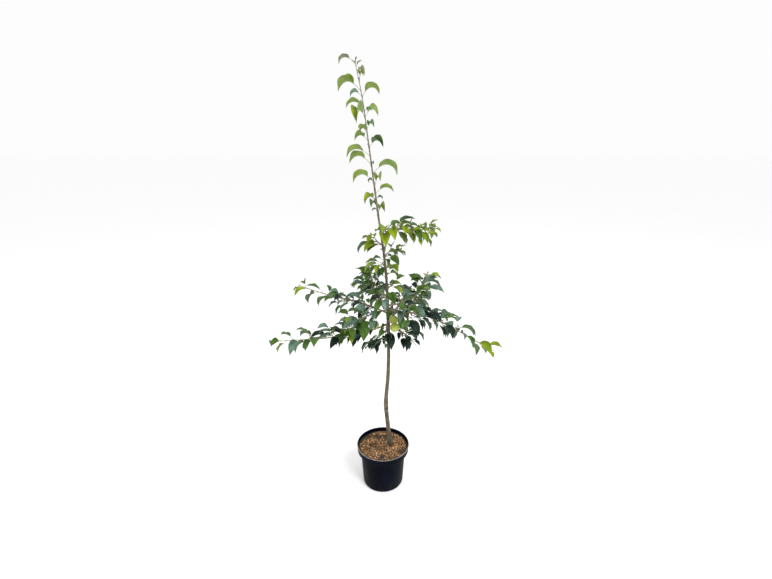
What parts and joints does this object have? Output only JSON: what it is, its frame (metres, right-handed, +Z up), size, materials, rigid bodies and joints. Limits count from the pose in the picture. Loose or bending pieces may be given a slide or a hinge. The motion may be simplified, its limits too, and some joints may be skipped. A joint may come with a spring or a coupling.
{
  "type": "potted asian pear tree",
  "caption": "Young Asian pear tree on a slim trunk, with short leafy boughs, a tall leader and green fruit, in a round black nursery pot.",
  "frame": {"origin": "centre of the pot's flat underside, on the surface that the pot stands on", "axes": "+Z up along the trunk, +X to the right and -Y to the front of the tree, as the picture sees it"},
  "size_m": [0.956, 0.5119, 1.8077],
  "materials": {
    "pot": "matte black moulded plastic",
    "soil": "bark mulch over compost",
    "bark": "grey-brown young bark",
    "young_bark": "red-brown smooth young bark",
    "foliage": "green leaves with a soft gloss, green twigs and fruit"
  },
  "bodies": {
    "root": {"pot": "pot", "soil": "soil", "trunk": "bark", "bough_left_low": "young_bark", "bough_left_mid": "young_bark", "bough_left_up": "young_bark", "bough_right_low": "young_bark", "bough_right_up": "young_bark", "bough_right_high": "young_bark", "bough_front_right": "young_bark", "bough_front_left": "young_bark", "bough_front_up": "young_bark", "bough_back_left": "young_bark", "bough_back_right": "young_bark", "bough_low_left": "young_bark", "bough_low_right": "young_bark", "bough_low_front": "young_bark", "foliage_left_low": "foliage", "foliage_left_mid": "foliage", "foliage_left_up": "foliage", "foliage_right_low": "foliage", "foliage_right_up": "foliage", "foliage_right_high": "foliage", "foliage_front_right": "foliage", "foliage_front_left": "foliage", "foliage_front_up": "foliage", "foliage_back_left": "foliage", "foliage_back_right": "foliage", "foliage_low_left": "foliage", "foliage_low_right": "foliage", "foliage_low_front": "foliage", "foliage_spur_1": "foliage", "foliage_spur_2": "foliage", "foliage_spur_3": "foliage", "foliage_spur_4": "foliage", "foliage_spur_5": "foliage", "foliage_spur_6": "foliage", "foliage_leader": "foliage"}
  },
  "joints": []
}
